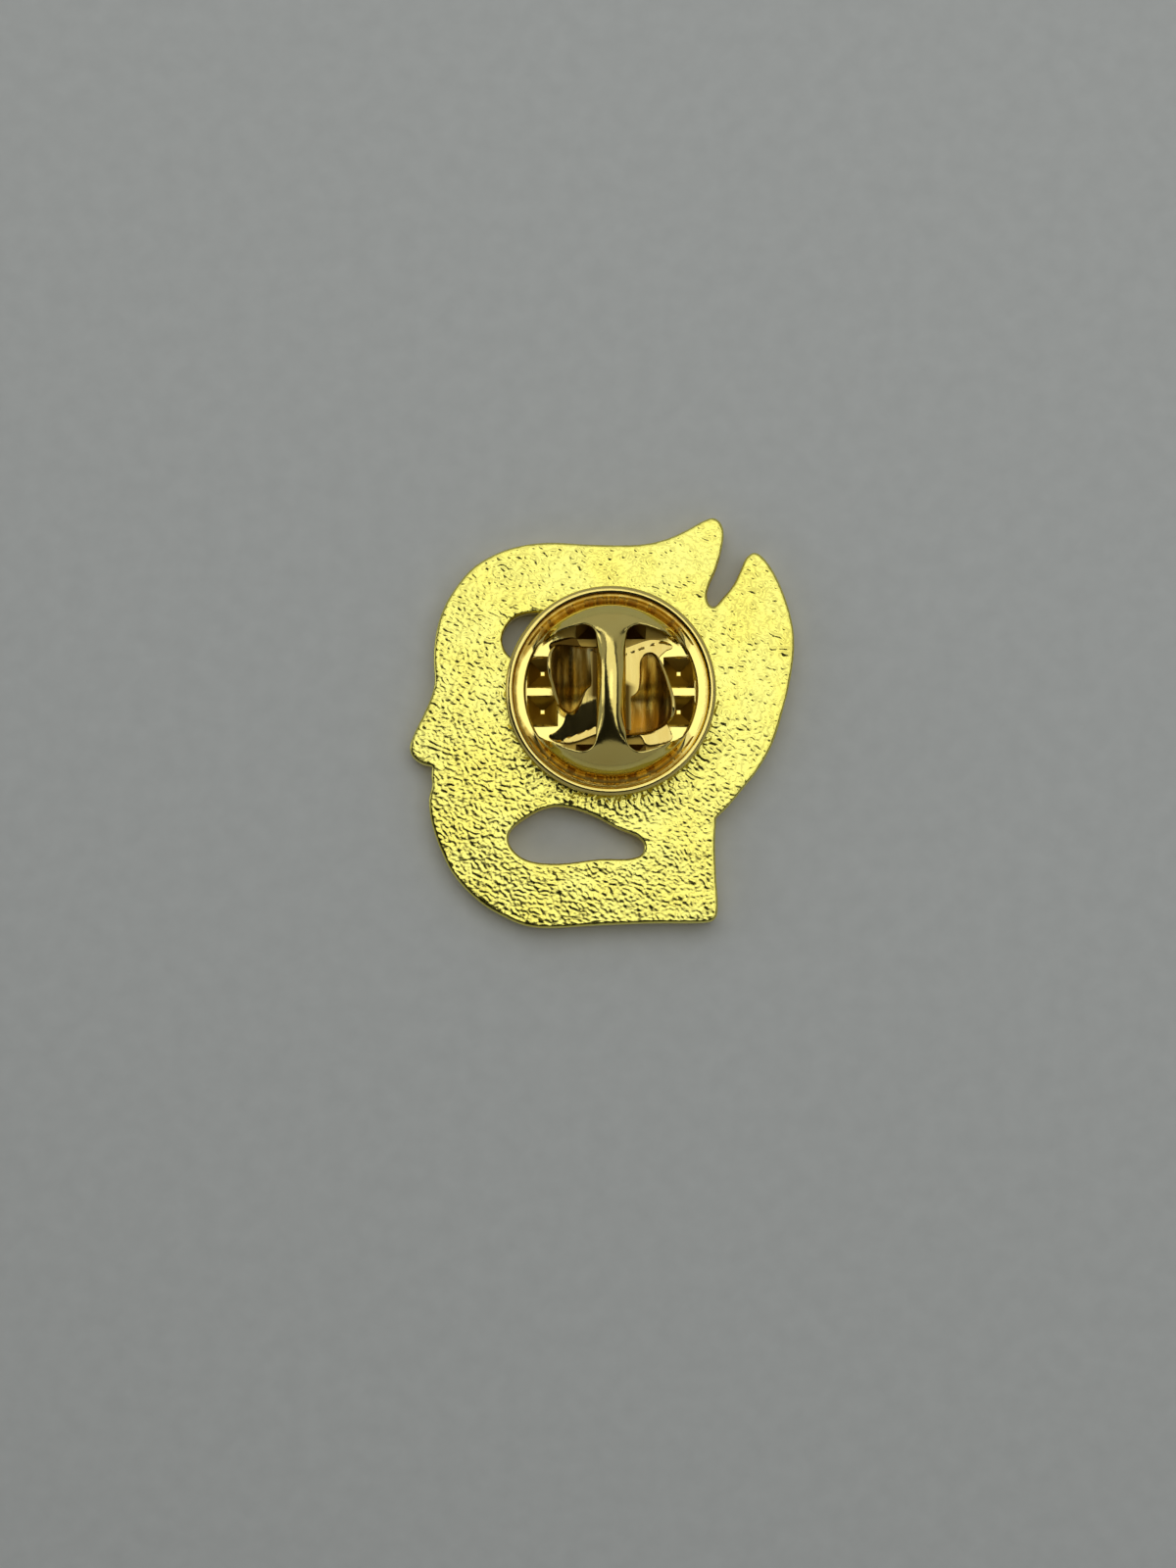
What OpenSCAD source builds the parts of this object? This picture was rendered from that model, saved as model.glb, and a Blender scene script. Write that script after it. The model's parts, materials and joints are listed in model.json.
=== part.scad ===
// Lapel pin with its butterfly clutch pushed home, lying on its front face.
// Millimetres, +Z up. The origin is on the post's axis, in the plane of the front face.

/* [Badge] */
// Thickness of the die-struck plate
plate_t = 1.5; // [1.3:0.1:1.8]
// Diameter of the post soldered to the back
post_d = 1.1; // [1:0.05:1.15]
// Height of the post above the back
post_len = 3.9; // [3.2:0.1:4]

/* [Clutch] */
// Outer diameter of the clutch
clutch_d = 11.5; // [11.3:0.1:12]
// Thickness of its sheet brass
sheet_t = 0.22; // [0.2:0.01:0.24]
// Height of the dome above the valley inside the rim
dome_h = 3; // [2.8:0.1:3.4]
// Width of the strap left between the two D openings
strap_w = 1.6; // [1.4:0.1:2]
// Depth of the pyramid pits pressed into the floor
pit_depth = 0.55; // [0.4:0.05:0.6]
// Air between the points of the pits and the back of the plate
home_gap = 0.1; // [0.05:0.05:0.2]

/* [Spring wings] */
// Height of a wing above its foot
wing_rise = 3.75; // [3.4:0.05:4]
// Thickness of the spring sheet
spring_t = 0.2; // [0.16:0.02:0.22]
// Slope of the foot, which lies flat when the wing is pinched
foot_tilt = 6.5; // [6.5:0.5:8]

/* [Hidden] */
$fn = 96;

// Straight steps drawn for each span of a curve between two knots
span_steps = 4;

// Knots of the plate's outline, clockwise from the forehead: x, y, sharp (1 keeps the corner)
OUTLINE = [
    [-8.85, 5.30, 0], [-7.70, 6.80, 0], [-6.40, 7.65, 0], [-4.90, 8.15, 0],
    [-3.30, 8.32, 0], [-1.30, 8.22, 0], [0.70, 8.18, 0], [2.00, 8.26, 0],
    [3.15, 8.55, 0], [4.30, 9.08, 0], [5.10, 9.52, 0], [5.65, 9.68, 0],
    [6.05, 9.42, 0], [6.22, 8.85, 0], [6.10, 7.90, 0], [5.77, 6.75, 0],
    [5.42, 5.95, 0], [5.30, 5.25, 0], [5.62, 4.78, 0], [6.15, 5.25, 0],
    [6.75, 6.00, 0], [7.15, 6.80, 0], [7.48, 7.50, 0], [7.98, 7.76, 0],
    [8.60, 7.25, 0], [9.22, 6.20, 0], [9.70, 4.95, 0], [10.00, 3.75, 0],
    [10.08, 2.60, 0], [9.92, 1.10, 0], [9.53, -0.65, 0], [8.90, -2.70, 0],
    [8.10, -4.15, 0], [7.20, -5.30, 0], [6.40, -6.25, 0], [5.78, -6.85, 1],
    [5.72, -8.30, 0], [5.78, -10.20, 0], [5.86, -11.70, 0], [5.72, -12.35, 0],
    [5.20, -12.58, 0], [2.30, -12.62, 0], [-1.00, -12.75, 0], [-3.45, -12.88, 0],
    [-4.60, -12.76, 0], [-5.60, -12.38, 0], [-7.10, -11.50, 0], [-8.50, -10.10, 0],
    [-9.30, -8.60, 0], [-9.80, -7.10, 0], [-9.95, -5.85, 0], [-9.78, -5.05, 0],
    [-9.82, -4.55, 0], [-9.78, -4.05, 1], [-10.40, -3.86, 0], [-10.86, -3.48, 0],
    [-11.00, -2.95, 0], [-10.78, -2.25, 0], [-10.30, -1.25, 0], [-9.88, -0.30, 0],
    [-9.66, 0.60, 0], [-9.70, 1.60, 0], [-9.68, 2.60, 0], [-9.42, 4.00, 0]
];

// Knots of the two openings cut through the plate, in the same columns
UPPER_OPENING = [
    [-5.95, 3.00, 0], [-5.40, 4.05, 0], [-4.20, 4.42, 0], [-3.00, 4.15, 0],
    [-2.45, 3.25, 0], [-2.95, 2.25, 0], [-4.30, 1.75, 0], [-5.50, 2.00, 0]
];
LOWER_OPENING = [
    [-5.60, -7.95, 0], [-4.75, -6.95, 0], [-3.10, -6.25, 0], [-1.30, -6.60, 0],
    [0.40, -7.45, 0], [1.75, -8.15, 0], [1.55, -8.95, 0], [-0.60, -9.10, 0],
    [-3.00, -9.35, 0], [-4.80, -9.05, 0]
];

// Post, from its root inside the plate to its point
post_r = post_d / 2;
fillet_r = 0.95;
fillet_h = 0.35;
point_h = 0.8;
point_r = 0.12;
neck_depth = 0.12;
neck_below_tip = 1.5;
post_tip_z = plate_t + post_len;

// Levels of the clutch, counted from the plate's front face
rim_r = clutch_d / 2;
floor_z = plate_t + home_gap + pit_depth;
floor_top_z = floor_z + sheet_t;

// Section of the base from its flat floor round to the curled lip: inwards of the rim, above the floor's underside
BASE_OUTSIDE = [
    [1.15, 0], [0.70, 0.13], [0.30, 0.43], [0.07, 0.68], [0, 0.88],
    [0.02, 1.02], [0.11, 1.12], [0.22, 1.15], [0.30, 1.12], [0.34, 1.04]
];
BASE_INSIDE = [[0.27, 0.98], [0.22, 0.88], [0.26, 0.77], [0.46, 0.55], [0.80, 0.31]];
floor_edge_in = 1.2;
base_hole_r = 0.75;

// Pits: two beside each of the four radii, with a narrow web between them
pit_size = 1.5;
pit_web = 0.4;
pit_centre = 3.7;

// Cap: dome, valley, and the bead that the base's lip holds
dome_r = rim_r - 1.15;
dome_power = 2.25;
dome_steps = 14;
valley_h = 0.75;
valley_r = rim_r - 0.65;
bead_r = 0.17;
bead_at = [rim_r - 0.55, 0.86];

// D openings: inside a circle and between two flat arcs, with rounded corners beside the strap
open_r = rim_r - 1.1;
open_arc_r = 7.56;
open_top_y = 3.69;
corner_r = 0.7;

// Foot of a spring piece: its plan (x, y, sharp), with a lobe at both ends, and its jaw notch round the post
foot_gap = 0.05;
jaw_gap = 0.05;
jaw_cut_h = 2;
heel_x = 3.4;
FOOT_PLAN = [
    [0.04, -2.40, 1], [2.20, -2.95, 0], [3.20, -2.88, 0], [3.38, -2.50, 0], [3.15, -1.75, 0],
    [2.62, -1.20, 0], [2.45, 0.00, 0], [2.45, 1.15, 0], [2.62, 1.80, 0], [3.02, 2.22, 0],
    [3.38, 2.45, 0], [3.20, 2.72, 0], [2.10, 2.82, 0], [0.04, 2.30, 1]
];

// Bend of a wing's sheet: it leaves the foot at the root, and its belly pulls it outwards before it rises
wing_root_x = 0.95;
wing_top_x = 3.45;
wing_steps = 8;
belly_out = 0.75;
belly_up = 0.15;

// Knots of the wings' edges seen from the side: y, height above the root as a share of the rise, sharp.
// The sheet is folded up from the foot only below the middle of its length, and stands free past it.
RIGHT_EDGE = [
    [-2.50, -0.08, 1], [-2.40, 0.15, 0], [-2.12, 0.50, 0], [-1.85, 0.72, 0], [-1.55, 0.87, 0],
    [-1.15, 0.92, 0], [-0.70, 0.88, 0], [0.05, 0.73, 0], [0.90, 0.56, 0], [1.65, 0.39, 0],
    [2.02, 0.26, 0], [2.00, 0.15, 0], [1.60, 0.11, 0], [0.40, 0.10, 0], [-0.20, 0.04, 0],
    [-0.50, -0.08, 1]
];
LEFT_EDGE = [
    [-2.42, -0.08, 1], [-2.42, 0.30, 0], [-2.34, 0.55, 0], [-2.05, 0.75, 0], [-1.60, 0.88, 0],
    [-1.10, 0.91, 0], [-0.60, 0.87, 0], [0.05, 0.72, 0], [0.80, 0.56, 0], [1.25, 0.37, 0],
    [1.32, 0.25, 0], [1.05, 0.16, 0], [0.40, 0.09, 0], [-0.15, 0.03, 0], [-0.40, -0.08, 1]
];
// Length of each of the two crossed prisms whose overlap is the sheet
wing_block = 6;

// Smooth closed curve through knots: the tangent at a knot runs from its neighbour before to the one after
function wrap(knots, i) = knots[(i + len(knots)) % len(knots)];
function flat2(p) = [p[0], p[1]];
function unit(v) = v / norm(v);
function heading(knots, i, to) =
    wrap(knots, i)[2] == 1
        ? unit(flat2(wrap(knots, to)) - flat2(wrap(knots, i))) * (to > i ? 1 : -1)
        : unit(flat2(wrap(knots, i + 1)) - flat2(wrap(knots, i - 1)));
function hermite(a, ta, b, tb, u) =
    (2 * u^3 - 3 * u^2 + 1) * a + (u^3 - 2 * u^2 + u) * ta
    + (3 * u^2 - 2 * u^3) * b + (u^3 - u^2) * tb;
function curve(knots) = [
    for (i = [0 : len(knots) - 1])
        let (
            a = flat2(knots[i]),
            b = flat2(wrap(knots, i + 1)),
            reach = norm(b - a)
        )
        for (s = [0 : span_steps - 1])
            hermite(a, heading(knots, i, i + 1) * reach, b, heading(knots, i + 1, i) * reach, s / span_steps)
];

module post() {
    neck_z = post_tip_z - neck_below_tip;
    neck_r = post_r - neck_depth;
    rotate_extrude()
        polygon([
            [0, plate_t / 2], [fillet_r, plate_t / 2], [fillet_r, plate_t + 0.05],
            [post_r, plate_t + fillet_h], [post_r, neck_z - 0.3], [neck_r, neck_z - 0.15],
            [neck_r, neck_z + 0.15], [post_r, neck_z + 0.3], [post_r, post_tip_z - point_h],
            [point_r, post_tip_z], [0, post_tip_z]
        ]);
}

module plate_and_post() {
    color("gold") {
        difference() {
            linear_extrude(plate_t) polygon(curve(OUTLINE));
            translate([0, 0, -1]) linear_extrude(plate_t + 2) polygon(curve(UPPER_OPENING));
            translate([0, 0, -1]) linear_extrude(plate_t + 2) polygon(curve(LOWER_OPENING));
        }
        post();
    }
}

// A pyramid pointing down, its square at z = 0
module pit(size, depth) {
    h = size / 2;
    polyhedron(
        points = [[-h, -h, 0], [h, -h, 0], [h, h, 0], [-h, h, 0], [0, 0, -depth]],
        faces = [[0, 3, 2, 1], [0, 1, 4], [1, 2, 4], [2, 3, 4], [3, 0, 4]]
    );
}

module each_pit() {
    beside = (pit_web + pit_size) / 2;
    for (quarter = [0 : 90 : 270], side = [-1, 1])
        rotate(quarter) translate([pit_centre, side * beside, 0]) children();
}

function base_section() = concat(
    [[base_hole_r, 0]],
    [for (p = BASE_OUTSIDE) [rim_r - p[0], p[1]]],
    [for (p = BASE_INSIDE) [rim_r - p[0], p[1]]],
    [[rim_r - floor_edge_in, sheet_t], [base_hole_r, sheet_t]]
);

module clutch_base() {
    overlap = 0.05;
    color("goldenrod") translate([0, 0, floor_z]) difference() {
        union() {
            rotate_extrude() polygon(base_section());
            translate([0, 0, overlap]) each_pit() pit(pit_size + 2 * sheet_t, pit_depth + overlap);
        }
        translate([0, 0, sheet_t + 0.01]) each_pit() pit(pit_size, pit_depth);
    }
}

// Height of the dome's sheet above the valley at one step, from the crest (0) to the foot (dome_steps)
function dome_point(step, r, h) =
    let (a = 90 * step / dome_steps, p = 2 / dome_power)
    [r * pow(sin(a), p), h * pow(max(cos(a), 0), p)];

function cap_section() = concat(
    [for (s = [0 : dome_steps]) dome_point(s, dome_r, dome_h) + [0, valley_h]],
    [[valley_r, valley_h], [valley_r, valley_h - sheet_t]],
    [for (s = [dome_steps : -1 : 0]) dome_point(s, dome_r - sheet_t, dome_h) + [0, valley_h - sheet_t]]
);

// Plan of the right-hand D opening
module d_opening() {
    half_strap = strap_w / 2;
    arc_y = open_top_y - open_arc_r;
    corner_x = half_strap + corner_r;
    reach = open_arc_r - corner_r;
    corner_y = arc_y + sqrt(reach^2 - corner_x^2);
    touch_x = corner_x * open_arc_r / reach;
    touch_y = arc_y + (corner_y - arc_y) * open_arc_r / reach;
    intersection() {
        circle(r = open_r);
        translate([0, arc_y]) circle(r = open_arc_r);
        translate([0, -arc_y]) circle(r = open_arc_r);
        difference() {
            translate([half_strap, -open_r]) square([open_r, 2 * open_r]);
            for (side = [-1, 1])
                difference() {
                    polygon([
                        [0, side * corner_y], [corner_x, side * corner_y], [touch_x, side * touch_y],
                        [touch_x, side * open_r], [0, side * open_r]
                    ]);
                    translate([corner_x, side * corner_y]) circle(r = corner_r);
                }
        }
    }
}

module clutch_cap() {
    color("goldenrod") translate([0, 0, floor_z]) difference() {
        union() {
            rotate_extrude() polygon(cap_section());
            rotate_extrude() translate(bead_at) circle(r = bead_r);
        }
        for (turn = [0, 180])
            rotate(turn) linear_extrude(dome_h + 2) d_opening();
    }
}

// Height of the middle of the foot's sheet at x
function foot_mid(x) = floor_top_z + foot_gap + spring_t / 2 + (heel_x - x) * tan(foot_tilt);

// Section of a wing's sheet across y: both sides of a quadratic curve from its root to its top edge
wing_root = [wing_root_x, foot_mid(wing_root_x)];
wing_top = wing_root + [wing_top_x - wing_root_x, wing_rise];
wing_belly = wing_root + [belly_out * (wing_top_x - wing_root_x), belly_up * wing_rise];
function bend(u) = (1 - u)^2 * wing_root + 2 * u * (1 - u) * wing_belly + u^2 * wing_top;
function across(u) =
    let (d = unit((1 - u) * (wing_belly - wing_root) + u * (wing_top - wing_belly)))
    [-d[1], d[0]] * spring_t / 2;
function wing_side(sign) = [for (s = [0 : wing_steps]) let (u = s / wing_steps) bend(u) + sign * across(u)];
function reversed(list) = [for (i = [len(list) - 1 : -1 : 0]) list[i]];

module wing_sheet(edge) {
    knots = [for (k = edge) [k[0], k[1] * wing_rise, k[2]]];
    intersection() {
        translate([0, wing_block / 2, 0]) rotate([90, 0, 0])
            linear_extrude(wing_block) polygon(concat(wing_side(1), reversed(wing_side(-1))));
        translate([0, 0, wing_root[1]]) rotate([90, 0, 90])
            linear_extrude(wing_block) polygon(curve(knots));
    }
}

// One spring piece, heel towards +X: a sloping foot with half the jaw, and the wing that rises from it
module spring_piece(edge) {
    difference() {
        union() {
            translate([heel_x, 0, floor_top_z + foot_gap]) rotate([0, foot_tilt, 0])
                linear_extrude(spring_t) translate([-heel_x, 0]) polygon(curve(FOOT_PLAN));
            wing_sheet(edge);
        }
        translate([0, 0, floor_z]) cylinder(r = post_r + jaw_gap, h = jaw_cut_h);
    }
}

module wing_right() {
    color("darkgoldenrod") spring_piece(RIGHT_EDGE);
}

module wing_left() {
    color("darkgoldenrod") rotate(180) spring_piece(LEFT_EDGE);
}

plate_and_post();
clutch_base();
clutch_cap();
wing_left();
wing_right();
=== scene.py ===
# Gold-plated lapel pin lying on its front face, with its butterfly clutch pushed home on the post.
import json
import math
import bmesh
import bpy
import numpy as np
from mathutils import Matrix, Vector, noise
from mathutils.geometry import delaunay_2d_cdt
from mathutils.kdtree import KDTree


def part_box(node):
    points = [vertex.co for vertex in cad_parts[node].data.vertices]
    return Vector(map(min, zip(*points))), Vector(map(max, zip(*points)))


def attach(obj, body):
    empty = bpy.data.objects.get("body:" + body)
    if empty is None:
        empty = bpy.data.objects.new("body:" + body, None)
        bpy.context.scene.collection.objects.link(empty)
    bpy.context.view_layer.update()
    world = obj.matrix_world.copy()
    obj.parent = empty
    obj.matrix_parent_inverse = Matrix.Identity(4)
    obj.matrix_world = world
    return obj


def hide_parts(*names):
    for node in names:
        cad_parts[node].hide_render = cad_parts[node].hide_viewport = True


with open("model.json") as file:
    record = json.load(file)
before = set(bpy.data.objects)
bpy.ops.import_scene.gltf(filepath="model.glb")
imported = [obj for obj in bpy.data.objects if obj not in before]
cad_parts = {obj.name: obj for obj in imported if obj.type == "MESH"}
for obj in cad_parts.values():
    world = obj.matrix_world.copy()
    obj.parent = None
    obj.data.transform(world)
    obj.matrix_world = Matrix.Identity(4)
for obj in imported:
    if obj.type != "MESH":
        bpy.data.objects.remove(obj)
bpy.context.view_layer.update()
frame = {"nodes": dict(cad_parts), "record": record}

MM = 0.001
TINY = 1e-9

# Spacing of the points that the distance to an edge is measured from
EDGE_MARKS = 0.02
FINE_MARKS = 0.01

# Sizes read from the frame, in millimetres, +Z out of the badge's back


def node_box(node):
    low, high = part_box(node)
    return low / MM, high / MM


def mount_height(name):
    return next(m["pos_m"][2] for m in frame["record"]["mounts"] if m["name"] == name) / MM


PLATE_T = mount_height("lapel_seat")
POST_TIP_Z = node_box("plate_and_post")[1].z
RIM_R = node_box("clutch_base")[1].x
PIT_TIP_Z = node_box("clutch_base")[0].z
DOME_TOP_Z = node_box("clutch_cap")[1].z
HEEL_X = node_box("wing_right")[1].x

# In the sizes that follow, a pair with no other word is where something starts to fade and where it ends

# Edges of the badge; the rings of points along them are shares of the edge's radius
BACK_EDGE_R = 0.14
BACK_EDGE_RINGS = (0.04, 0.15, 0.33, 0.6, 1.0)
FRONT_EDGE_R = 0.08
FRONT_EDGE_RINGS = (0.1, 0.4, 1.0)
FRONT_STEP = 0.8

# Sand texture of its back: length, width and height of each kind of grain
GRAIN_STEP = 0.067
GRAIN_TURN = math.radians(-22)
PEBBLE_L = 0.33
PEBBLE_W = 0.25
PEBBLE_H = 0.031
PEBBLE_SOFTNESS = 0.0015
GRIT_L = 0.19
GRIT_W = 0.15
GRIT_H = 0.011
SWELL_L = 1.7
SWELL_W = 1.4
SWELL_H = 0.014

# Raked strokes beyond the clutch
RAKE_L = 0.55
RAKE_W = 0.19
RAKE_H = 0.065
RAKE_SOFTNESS = 0.001
RAKE_START_R = (5.2, 5.7)
RAKE_END_R = (6.2, 7.1)
RAKE_LEAN = 0.2
RAKE_LOWNESS = (0.1, 0.6)

# Post, from its soldered root to its point
POST_R = 0.55
POST_STEPS = 48
ROOT_DEPTH = 0.3
ROOT_EDGE = 0.05
SOLDER_R = 0.35
NECK_DROP = 1.5
NECK_HALF = 0.3
NECK_DEPTH = 0.12
POINT_H = 0.8
POINT_POWER = 0.75
POINT_SHARES = (0, 0.05, 0.15, 0.3, 0.5, 0.7, 0.85, 0.93, 0.98)

# Dish of the clutch, its floor and its pits; the lip's cut edge is given inwards from the rim and up
TURN_STEPS = 288
DISH_STEP = 0.1
DISH_EDGE_RINGS = (0.03,)
SHEET_T = 0.22
PIT_DEPTH = 0.55
FLOOR_Z = PIT_TIP_Z + PIT_DEPTH
FLOOR_TOP_Z = FLOOR_Z + SHEET_T
FLOOR_R = RIM_R - 1.2
FLOOR_RISE = 0.13
FLOOR_RISE_Y = (2.5, 4.0)
FLOOR_FALL_R = (4.2, 4.8)
WALL_START_R = RIM_R - 0.7
WALL_H = 0.88
WALL_POWER = 1.6
LIP_R = 0.25
LIP_CUT = ((0.24, 0.03), (0.31, 0.08), (0.38, 0.12), (0.385, 0.18))
LIP_CUT_TURN = 116
LIP_RISE = 0.02
RIM_START = 0.02
PIT_SIZE = 1.7
PIT_WEB = 0.4
PIT_CENTRE = 3.73
PIT_POINT = 0.09
PIT_HOLLOW = 0.7
PIT_WALL = 0.12
DISH_HOLE_R = 0.75
DISH_HOLE_STEPS = 48

# Dome, its two D-shaped openings and the flange that the dish's lip holds
CAP_T = 0.18
CAP_STEP = 0.06
CAP_EDGE_R = 0.09
RING_EDGE_R = 0.15
CAP_EDGE_RINGS = (0.015, 0.04, 0.08, 0.13, 0.19)
DOME_R = RIM_R - 0.95
DOME_POWER = 2.25
DOME_FILLET = 0.42
FLANGE_Z = FLOOR_Z + 0.92
FLANGE_R = RIM_R - 0.58
FLANGE_END_R = RIM_R - 0.33
FLANGE_CROWN = 0.6
DOME_H = DOME_TOP_Z - FLANGE_Z
STRAP_W = 1.7
STRAP_DROP = 1.0
STRAP_POWER = 2.3
STRAP_STEEPEST = 0.985
STRAP_TOP_Y = (1.9, 3.5)
STRAP_LOW_Y = (1.2, 3.3)
STRAP_SIDE_X = (1.0, 1.7)
RING_START_R = 4.3
RING_END_Y = (2.1, 3.7)
OPEN_R = RIM_R - 1.1
OPEN_TOP_Y = 3.69
OPEN_ARC_R = 7.56
CORNER_R = 0.7
OPEN_MARKS = 0.02
OPEN_SOFTNESS = 16

# Feet of the spring pieces, their halves of the jaw, and the scored line with its turned-up strip
SPRING_T = 0.2
FOOT_TILT = math.radians(6.5)
FOOT_GAP = 0.05
FOOT_STEP = 0.08
FOOT_EDGE_R = 0.04
FOOT_EDGE_RINGS = (0.02,)
FOOT_SLOPE = 0.05
FOOT_SLOPE_W = 1.5
JAW_R = 0.6
JAW_STEPS = 24
JAW_END_ANGLE = 0.07
STRIP_W = 0.42
STRIP_SLOPE = 0.09
SCORE_START_X = 0.15
SCORE_END_X = 2.4
SCORE_STEP = 0.05
SCORE_Y = 1.64
SCORE_SLOPE = 0.40
SCORE_HALF = 0.035
SCORE_DEPTH = 0.022

# Thumb wings; the belly of their bend and the end sunk in the foot are shares of the whole
WING_ROOT_X = 0.95
WING_TOP_X = 3.45
WING_RISE = 3.72
WING_BELLY_X = 0.72
WING_BELLY_Z = 0.18
WING_SUNK = 0.06
WING_STEP = 0.07
WING_EDGE_STEP = 0.06
WING_EDGE_RINGS = (0.015, 0.035, 0.06, 0.09)
# Width along each wing's edge that is left without the painted reflection
UNPAINTED_EDGE = 0.05
RIPPLE_L = 2.4
RIPPLE_W = 0.7
RIPPLE_H = 0.06
RIPPLE_FADE = 0.4
RIPPLE_SEED = 7.3

# Knots of a spring piece's foot and of the wings' edges: two coordinates, then 1 where the corner is sharp
FOOT_PLAN = [
    [0.04, -1.95, 1], [1.38, -2.28, 0], [1.70, -2.55, 0], [1.90, -2.88, 0], [2.25, -2.95, 0],
    [3.20, -2.72, 0], [3.38, -2.48, 0], [3.05, -1.78, 0],
    [2.62, -1.20, 0], [2.45, 0.00, 0], [2.45, 1.15, 0], [2.62, 1.80, 0], [3.02, 2.22, 0],
    [3.38, 2.42, 0], [3.20, 2.64, 0], [2.65, 2.81, 0], [2.05, 2.80, 0], [0.96, 2.42, 0], [0.04, 2.05, 1],
]
RIGHT_EDGE = [
    [-2.50, -0.08, 1], [-2.40, 0.15, 0], [-2.12, 0.50, 0], [-1.85, 0.72, 0], [-1.55, 0.87, 0],
    [-1.15, 0.92, 0], [-0.70, 0.88, 0], [0.05, 0.73, 0], [0.90, 0.56, 0], [1.65, 0.39, 0],
    [2.02, 0.26, 0], [2.00, 0.15, 0], [1.60, 0.11, 0], [0.40, 0.10, 0], [-0.20, 0.04, 0],
    [-0.50, -0.08, 1],
]
LEFT_EDGE = [
    [-2.42, -0.08, 1], [-2.42, 0.30, 0], [-2.34, 0.55, 0], [-2.05, 0.75, 0], [-1.60, 0.88, 0],
    [-1.10, 0.91, 0], [-0.60, 0.87, 0], [0.05, 0.72, 0], [0.80, 0.56, 0], [1.25, 0.37, 0],
    [1.32, 0.25, 0], [1.05, 0.16, 0], [0.40, 0.09, 0], [-0.15, 0.03, 0], [-0.40, -0.08, 1],
]


# Flat outlines


def closed_curve(knots, step):
    """Points every step along a smooth closed curve through knots of x, y and sharpness."""
    knots = [np.array(k, float) for k in knots]
    count = len(knots)
    points = []
    for i in range(count):
        before, a, b, after = (knots[(i + k) % count][:2] for k in (-1, 0, 1, 2))
        reach = np.linalg.norm(b - a)
        leave = b - a if knots[i][2] else b - before
        arrive = b - a if knots[(i + 1) % count][2] else after - a
        leave = leave / np.linalg.norm(leave) * reach
        arrive = arrive / np.linalg.norm(arrive) * reach
        steps = max(1, math.ceil(reach / step))
        for s in range(steps):
            u = s / steps
            points.append(
                (2 * u**3 - 3 * u**2 + 1) * a + (u**3 - 2 * u**2 + u) * leave
                + (3 * u**2 - 2 * u**3) * b + (u**3 - u**2) * arrive
            )
    return np.array(points)


def circle(radius, count):
    angles = np.arange(count) * 2 * math.pi / count
    return np.column_stack((radius * np.cos(angles), radius * np.sin(angles)))


def closer(loop, step):
    """The same closed loop with points no further apart than step."""
    pieces = []
    for a, b in zip(loop, np.roll(loop, -1, 0)):
        steps = max(1, math.ceil(np.linalg.norm(b - a) / step))
        pieces.append(a + (b - a) * (np.arange(steps) / steps)[:, None])
    return np.vstack(pieces)


def turned(loop, counter_clockwise):
    """The loop in the asked direction."""
    after = np.roll(loop, -1, 0)
    area = np.sum(loop[:, 0] * after[:, 1] - after[:, 0] * loop[:, 1])
    return loop if (area > 0) == counter_clockwise else loop[::-1]


def left_of(loop):
    """Unit vectors to the left of a closed loop at each of its points."""
    along = np.roll(loop, -1, 0) - np.roll(loop, 1, 0)
    along /= np.linalg.norm(along, axis=1)[:, None]
    return np.column_stack((-along[:, 1], along[:, 0]))


def inside(points, loops):
    """Whether each point is inside the outer loop and outside the holes."""
    x, y = points[:, 0], points[:, 1]
    odd = np.zeros(len(points), bool)
    for loop in loops:
        for (ax, ay), (bx, by) in zip(loop, np.roll(loop, -1, 0)):
            if ay != by:
                crosses = (ay > y) != (by > y)
                odd ^= crosses & (x < ax + (y - ay) * (bx - ax) / (by - ay))
    return odd


def distance_to(points, loops):
    """Distance from each point to the nearest point of the loops."""
    marks = np.vstack(loops)
    tree = KDTree(len(marks))
    for i, mark in enumerate(marks):
        tree.insert((mark[0], mark[1], 0), i)
    tree.balance()
    return np.array([tree.find((p[0], p[1], 0))[2] for p in points])


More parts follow.
